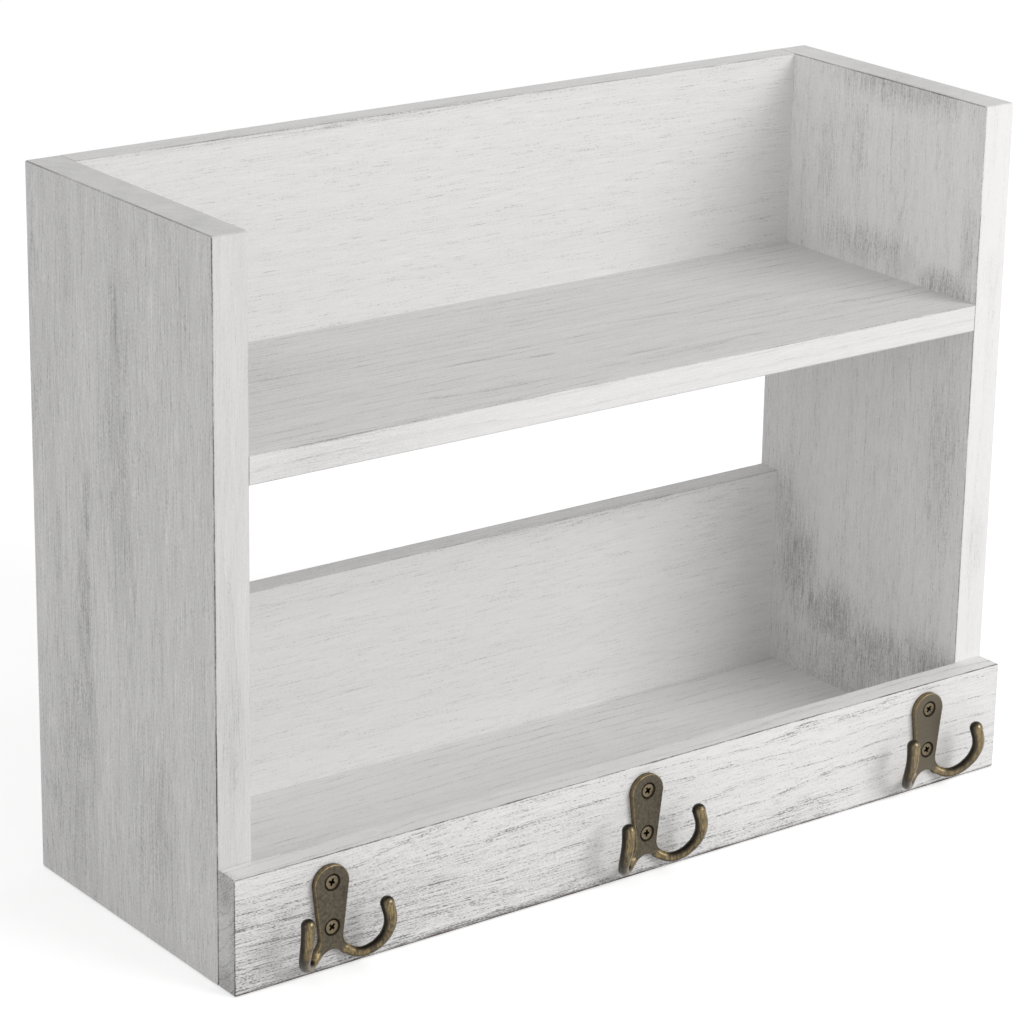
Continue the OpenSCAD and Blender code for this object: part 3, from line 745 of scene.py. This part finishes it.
class ORGANIZER_OT_front_rail(bpy.types.Operator):
    """Models the rail across the front"""

    bl_idname = "organizer.front_rail"
    bl_label = "Front rail"

    def execute(self, context):
        # The roughest board: deep strokes, dark towards its left end and along its rubbed lower edge
        finish = whitewash(
            "front_rail", X_AXIS, seed=7, tones_and_shade=(0.58, 0.09, 0.14), grit=(1.8, 0.95, 0.5),
            pores=(0.6, 0.72, 0.3), ring=(6.5, 60.0, 70.0), stroke=(14.0, 0.32), rows=0.27, bands=0.14,
            rubbed=(("-y+z", 0.95, 1.0), ("-x-y", 0.9, 1.0), ("-x+z", 0.9, 1.0), ("-y-z", 0.9, 2.6)),
            smudges_and_shade=(
                ((-203, -150, 10), (330, 6, 60), 0.68),
                ((-60, -150, 0), (150, 5, 5.2), 2.1),
                ((-196, -150, 4), (44, 8, 14), 0.9),
                ((-120, -150, 10), (100, 5, 20), 0.55),
                ((20, -150, 6), (90, 5, 16), 0.45),
                ((80, -150, 4), (60, 5, 14), 0.5),
                ((-203, -144, 44), (5, 9, 13), 1.1),
                ((-203, -144, 4), (5, 9, 13), 1.1)))
        finish_piece(board("front_rail"), finish, "whitewashed_wood", "front_rail")
        return {"FINISHED"}


# A prong's centre line after its root, as shares of its spread, its throw and its rise
PRONG_ROUTE = ((0.45, 0.19, 0.03), (0.60, 0.31, 0.00), (0.78, 0.49, 0.07), (0.92, 0.70, 0.24),
               (0.99, 0.89, 0.46), (1.00, 1.00, 0.72), (0.95, 0.94, 1.00))
# Thickness at its root and along that line, as shares of the prong's radius
ROOT_SWELL = 0.52
PRONG_SWELL = (0.80, 0.82, 0.85, 0.90, 0.98, 1.08, 1.14)
# The prongs' spread, throw and rise over their lowest bend, and that bend's depth under the arch
PRONG_SPREAD, PRONG_THROW, PRONG_RISE, BEND_DEPTH = 19.7*MM, 14.6*MM, 23*MM, 3.37*MM
# Where a prong starts inside the plate: how far from the middle and how far over the arch
ROOT_ASIDE, ROOT_HEIGHT = 5.0*MM, 0.2*MM


def prong(side, back, arch):
    """One prong: a round bar swept from the leg, out and up to its rounded tip."""
    hooks = bpy.context.scene.organizer_hooks
    route = [(side*x*PRONG_SPREAD, back - y*PRONG_THROW, arch - BEND_DEPTH + z*PRONG_RISE)
             for x, y, z in PRONG_ROUTE]
    root = (side*ROOT_ASIDE, back - hooks.plate_thickness/2, arch + ROOT_HEIGHT)
    deselect()
    bpy.ops.curve.primitive_bezier_curve_add()
    bar = bpy.context.object
    bar.data.bevel_depth = hooks.prong_radius
    bar.data.bevel_resolution = 8
    bar.data.resolution_u = 16
    bar.data.use_fill_caps = True
    points = bar.data.splines[0].bezier_points
    points.add(len(route) + 1 - len(points))
    for point, place, swell in zip(points, [root, *route], (ROOT_SWELL, *PRONG_SWELL)):
        point.co = place
        point.radius = swell
        point.handle_left_type = point.handle_right_type = "AUTO"
    bpy.ops.object.convert(target="MESH")
    bar = named("prong")
    deselect()
    bpy.ops.mesh.primitive_uv_sphere_add(
        segments=32, ring_count=16, radius=hooks.tip_radius, location=route[-1])
    named("tip")
    bar.select_set(True)
    bpy.context.view_layer.objects.active = bar
    bpy.ops.object.join()
    return bpy.context.object


# The web that spreads from the waist into the prongs: half its width, how far it reaches below the arch
# and how far it runs into the shank
WEB_HALF, WEB_REACH, WEB_OVERLAP = 8.4*MM, 3.4*MM, 0.5*MM
# Play round a countersunk head and round a shank, and how far a bore's mouth stands out and overlaps
HEAD_PLAY, SHANK_PLAY = 0.45*MM, 0.2*MM
MOUTH_DEPTH, MOUTH_OVERLAP = 1.0*MM, 0.02*MM


class ORGANIZER_OT_hooks(bpy.types.Operator):
    """Casts the three double hooks: plate and prongs melted together, then countersunk"""

    bl_idname = "organizer.hooks"
    bl_label = "Hooks"

    def execute(self, context):
        hooks = context.scene.organizer_hooks
        low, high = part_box("hook_middle")
        back, top = high.y, high.z
        front = back - hooks.plate_thickness
        mid = (back + front)/2
        screw = top - hooks.screw_top
        head = top - hooks.head_radius
        waist = screw - hooks.screw_pitch - hooks.waist_drop
        arch = waist - hooks.arch_drop
        through = 3*hooks.plate_thickness

        plate = rod("plate", (0, mid, head), hooks.head_radius, hooks.plate_thickness, sides=96)
        shank = block("shank", (-hooks.head_radius, front, waist), (hooks.head_radius, back, head))
        change_points(shank, lambda p: abs(p.z - waist) < 1e-6, bpy.ops.transform.resize,
                      value=(hooks.waist_radius/hooks.head_radius, 1, 1))
        web = block("web", (-WEB_HALF, front, arch - WEB_REACH), (WEB_HALF, back, waist + WEB_OVERLAP))
        aside = hooks.waist_radius + hooks.flare_radius
        for side in (-1, 1):
            cut(web, rod("flare", (side*aside, mid, waist), hooks.flare_radius, through))
        cut(web, rod("arch", (0, mid, arch - hooks.arch_radius), hooks.arch_radius, through))
        parts = [shank, web, prong(-1, back, arch), prong(1, back, arch)]
        pick(plate)
        for part in parts:
            part.select_set(True)
        bpy.ops.object.join()
        modify(plate, "REMESH", mode="VOXEL", voxel_size=hooks.voxel)
        modify(plate, "SMOOTH", factor=0.5, iterations=12)

        wide = hooks.screw_head_radius + HEAD_PLAY
        narrow = hooks.screw_radius + SHANK_PLAY
        for z in (screw, screw - hooks.screw_pitch):
            cut(plate, rod("sink", (0, front + (wide - narrow)/2, z), wide, wide - narrow, narrow))
            cut(plate, rod("mouth", (0, front - MOUTH_DEPTH/2, z), wide, MOUTH_DEPTH + MOUTH_OVERLAP))
            cut(plate, rod("hole", (0, mid, z), narrow, 2*hooks.plate_thickness))
        smooth(plate, 40)

        finish = antique_bronze(front)
        for name in ("hook_left", "hook_middle", "hook_right"):
            pick(plate)
            bpy.ops.object.duplicate()
            low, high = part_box(name)
            bpy.ops.transform.translate(value=((low.x + high.x)/2, 0, 0))
            finish_piece(named(name + "_casting"), finish, "antique_bronze", name)
        bpy.data.objects.remove(plate)
        return {"FINISHED"}


# How far the driver crosses are turned, in degrees, from the left hook's upper screw to the right's lower
SCREW_TURNS = (20, 44, 62, 8, 35, 71)
# Length, depth and width of a bar of the cross, half of its depth over the head, and how it narrows
CROSS_SIZE = (4.4*MM, 2.4*MM, 1.35*MM)
CROSS_TAPER = (0.45, 1, 0.6)
# How far a shank runs into its head, its point's share of its radius and the bevel of the head's rim
SHANK_OVERLAP, POINT_SHARE, RIM_BEVEL = 0.2*MM, 0.3, 0.18*MM


class ORGANIZER_OT_hook_screws(bpy.types.Operator):
    """Turns the six countersunk screws and sinks a driver cross in each head"""

    bl_idname = "organizer.hook_screws"
    bl_label = "Hook screws"

    def execute(self, context):
        hooks = context.scene.organizer_hooks
        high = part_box("hook_middle")[1]
        face = high.y - hooks.plate_thickness + hooks.screw_sink
        cone = hooks.screw_head_radius - hooks.screw_radius
        shank = hooks.screw_length - cone
        finish = aged_brass(face)
        turns = iter(SCREW_TURNS)
        for side in ("left", "middle", "right"):
            low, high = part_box("hook_" + side)
            x = (low.x + high.x)/2
            for row in ("upper", "lower"):
                z = high.z - hooks.screw_top - (hooks.screw_pitch if row == "lower" else 0)
                screw = rod("screw", (x, face + cone/2, z), hooks.screw_head_radius, cone, hooks.screw_radius)
                cut(screw, rod("shank", (x, face + cone + (shank - SHANK_OVERLAP)/2, z), hooks.screw_radius,
                               shank + SHANK_OVERLAP, POINT_SHARE*hooks.screw_radius), "UNION")
                turn = math.radians(next(turns))
                for quarter in (0, math.pi/2):
                    cut(screw, cross_bar((x, face, z), turn + quarter))
                bevel_edges(screw, RIM_BEVEL, 2,
                            lambda a, b: on_rim(a, b, x, face, z, hooks.screw_head_radius))
                smooth(screw, 35)
                screw.name = screw.data.name = f"screw_{side}_{row}"
                finish_piece(screw, finish, "aged_brass", "hook_screws")
        return {"FINISHED"}


def on_rim(a, b, x, face, z, radius):
    """Whether an edge lies on the head's outer rim."""
    return all(abs(p.y - face) < 1e-6 and abs(math.hypot(p.x - x, p.z - z) - radius) < 0.02*MM
               for p in (a, b))


def cross_bar(centre, turn):
    """One bar of the driver cross, narrower at its bottom."""
    deselect()
    bpy.ops.mesh.primitive_cube_add(size=1)
    bar = bpy.context.object
    change_points(bar, lambda p: p.y > 0, bpy.ops.transform.resize, value=CROSS_TAPER)
    bar.scale = CROSS_SIZE
    bar.rotation_euler = (0, turn, 0)
    bar.location = centre
    return named("cross")


class ORGANIZER_OT_hangers(bpy.types.Operator):
    """Finishes the keyhole plates, their screws and the hidden dowels"""

    bl_idname = "organizer.hangers"
    bl_label = "Hangers and dowels"

    def execute(self, context):
        plates = zinc_steel("zinc_steel_plates", "#B4B6B8", "#8E9194")
        for name in ("left_hanger", "right_hanger"):
            carry(name, plates)
        carry("hanger_screws", zinc_steel("zinc_steel_screws", "#8C8F93", "#686B6F"))
        carry("dowels", beech())
        return {"FINISHED"}


def carry(name, material):
    """Gives a node that is shown as it is its finish."""
    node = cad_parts[name]
    node.data.materials.clear()
    node.data.materials.append(material)


def towards(azimuth, elevation):
    """The direction from the organizer to a point at the given turn and height."""
    return Vector((math.sin(azimuth)*math.cos(elevation), -math.cos(azimuth)*math.cos(elevation),
                   math.sin(elevation)))


# Width of the floor in metres, and its gap under the organizer
FLOOR_SIZE, FLOOR_GAP = 12, 0.3*MM
# Width of the camera's sensor in millimetres, the one that the lens is given for
SENSOR_WIDTH = 36


class ORGANIZER_OT_stage(bpy.types.Operator):
    """Sets the camera, a pale floor, a white surround and soft studio light"""

    bl_idname = "organizer.stage"
    bl_label = "Stage"

    def execute(self, context):
        scene = context.scene
        stage = scene.organizer_stage
        back = towards(stage.azimuth, stage.elevation)
        right = Vector((math.cos(stage.azimuth), math.sin(stage.azimuth), 0))
        up = back.cross(right)
        across = math.cos(stage.roll)*right + math.sin(stage.roll)*up
        upward = math.cos(stage.roll)*up - math.sin(stage.roll)*right
        turn = Matrix((across, upward, back)).transposed().to_euler()
        deselect()
        bpy.ops.object.camera_add(location=Vector(stage.target) + stage.distance*back, rotation=turn)
        camera = context.object
        camera.name = "camera"
        camera.data.lens = stage.lens
        camera.data.sensor_width = SENSOR_WIDTH
        camera.data.shift_x, camera.data.shift_y = stage.shift
        scene.camera = camera

        deselect()
        bpy.ops.mesh.primitive_plane_add(size=FLOOR_SIZE, location=(0, 0, -FLOOR_GAP))
        floor = named("floor")
        floor.data.materials.append(pale_floor())

        lamp("key_light", stage.key_power, stage.key_azimuth, stage.key_elevation)
        lamp("fill_light", stage.fill_power, stage.fill_azimuth, stage.fill_elevation)
        surround(scene, stage.ambient)
        scene.view_settings.view_transform = "Standard"
        return {"FINISHED"}


# Distance in metres of a lamp from the organizer's middle, and its width and height
LAMP_DISTANCE, LAMP_SIZE = 2.4, (1.3, 1.1)


def lamp(name, power, azimuth, elevation):
    """A soft rectangular lamp that faces the organizer from the given direction."""
    back = towards(azimuth, elevation)
    centre = (cad_box[0] + cad_box[1])/2
    deselect()
    bpy.ops.object.light_add(type="AREA", location=centre + LAMP_DISTANCE*back,
                             rotation=back.to_track_quat("Z", "Y").to_euler())
    bpy.context.object.name = name
    light = bpy.context.object.data
    light.shape = "RECTANGLE"
    light.size, light.size_y = LAMP_SIZE
    light.energy = power


# Light of its own that lifts the floor to white where it is seen, and keeps the shadow on it
FLOOR_GLOW = 0.5


def pale_floor():
    """Pale matt floor that the camera sees as near white, with the organizer's soft shadow kept."""
    material, tree = new_material("pale_floor")
    path = add(tree, "LightPath").outputs
    seen = add(tree, "Math", {0: path["Is Camera Ray"], 1: path["Is Glossy Ray"]}, operation="MAXIMUM")
    diffuse = add(tree, "BsdfDiffuse", {"Color": linear("#E6E6E6")})
    glow = add(tree, "Math", {0: seen, 1: FLOOR_GLOW}, operation="MULTIPLY")
    light = add(tree, "Emission", {"Color": (1, 1, 1, 1), "Strength": glow})
    both = add(tree, "AddShader", {0: diffuse, 1: light})
    add(tree, "OutputMaterial", {0: both})
    return material


def surround(scene, ambient):
    """White where the camera, gloss or glass sees it, and an even light elsewhere."""
    world = bpy.data.worlds.new("surround")
    world.use_nodes = True
    tree = world.node_tree
    tree.nodes.clear()
    path = add(tree, "LightPath").outputs
    seen = add(tree, "Math", {0: path["Is Camera Ray"], 1: path["Is Glossy Ray"]}, operation="MAXIMUM")
    seen = add(tree, "Math", {0: seen, 1: path["Is Transmission Ray"]}, operation="MAXIMUM")
    strength = add(tree, "MapRange", {"Value": seen, "To Min": ambient, "To Max": 1.0})
    sky = add(tree, "Background", {"Color": (1, 1, 1, 1), "Strength": strength})
    add(tree, "OutputWorld", {0: sky})
    scene.world = world


SETTINGS = {
    "organizer_wood": OrganizerWood,
    "organizer_hooks": OrganizerHooks,
    "organizer_stage": OrganizerStage,
}
PIECES = (ORGANIZER_OT_stage, ORGANIZER_OT_side_boards, ORGANIZER_OT_back_boards, ORGANIZER_OT_shelves,
          ORGANIZER_OT_front_rail, ORGANIZER_OT_hooks, ORGANIZER_OT_hook_screws, ORGANIZER_OT_hangers)


class ORGANIZER_PT_panel(bpy.types.Panel):
    """Lists the organizer's pieces and settings in the sidebar"""

    bl_idname = "ORGANIZER_PT_panel"
    bl_label = "Organizer"
    bl_space_type = "VIEW_3D"
    bl_region_type = "UI"
    bl_category = "Organizer"

    def draw(self, context):
        column = self.layout.column()
        for piece in PIECES:
            column.operator(piece.bl_idname)
        for group in SETTINGS:
            settings = getattr(context.scene, group)
            for name in settings.bl_rna.properties.keys():
                if name not in ("rna_type", "name"):
                    column.prop(settings, name)


def register():
    for group in SETTINGS.values():
        bpy.utils.register_class(group)
    for name, group in SETTINGS.items():
        setattr(bpy.types.Scene, name, bpy.props.PointerProperty(type=group))
    for piece in (*PIECES, ORGANIZER_PT_panel):
        bpy.utils.register_class(piece)


def unregister():
    for piece in (*PIECES, ORGANIZER_PT_panel):
        bpy.utils.unregister_class(piece)
    for name, group in SETTINGS.items():
        delattr(bpy.types.Scene, name)
        bpy.utils.unregister_class(group)


def main():
    register()
    for piece in PIECES:
        family, name = piece.bl_idname.split(".")
        getattr(getattr(bpy.ops, family), name)()


if __name__ == "__main__":
    main()
